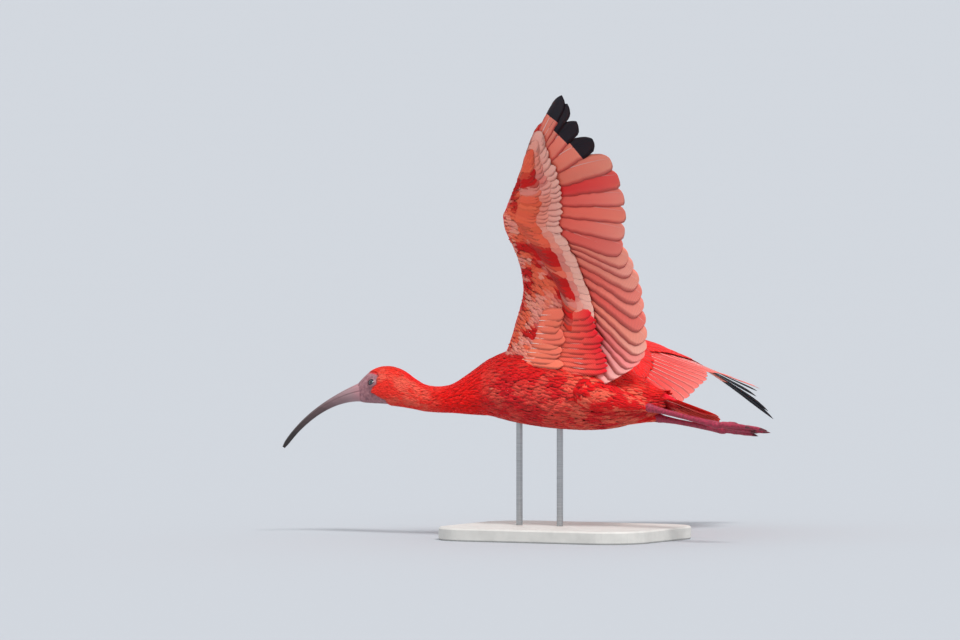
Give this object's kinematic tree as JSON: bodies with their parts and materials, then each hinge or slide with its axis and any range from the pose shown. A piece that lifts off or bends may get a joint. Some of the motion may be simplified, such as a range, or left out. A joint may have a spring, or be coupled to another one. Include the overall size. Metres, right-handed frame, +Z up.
{
  "type": "bird_model",
  "caption": "Life-size museum model of a scarlet ibis in banked flight, wings raised, on a flat stone-coloured base with steel rods",
  "frame": {"origin": "centre of the stand base's underside", "axes": "+Z up, the bird's head toward -X, its left side toward -Y; the body is banked 35 degrees about X, left wing up"},
  "size_m": [0.6803, 0.6028, 0.5563],
  "materials": {
    "scarlet_plumage": "painted matt, vivid scarlet to crimson",
    "coral_plumage": "painted matt, coral and salmon pink with paler tips",
    "bill": "satin, pinkish grey at the base to near black at the tip",
    "leg_skin": "satin, dusky purple pink, with dark claws",
    "eye_glass": "polished, dark",
    "stand_base": "smooth, pale stone colour",
    "stand_steel": "brushed"
  },
  "bodies": {
    "root": {"bill_upper": "bill", "bill_lower": "bill", "head": "scarlet_plumage", "eye_left": "eye_glass", "eye_right": "eye_glass", "neck_front": "scarlet_plumage", "neck_rear": "scarlet_plumage", "torso": "scarlet_plumage", "tail": "scarlet_plumage", "wing_left_inner": "coral_plumage", "wing_left_outer": "coral_plumage", "wing_right_inner": "coral_plumage", "wing_right_outer": "coral_plumage", "leg_left_upper": "scarlet_plumage", "leg_right_upper": "scarlet_plumage", "leg_left_lower": "leg_skin", "leg_right_lower": "leg_skin", "foot_left": "leg_skin", "foot_right": "leg_skin", "stand_base": "stand_base", "stand_rod_front": "stand_steel", "stand_rod_rear": "stand_steel"}
  },
  "joints": []
}
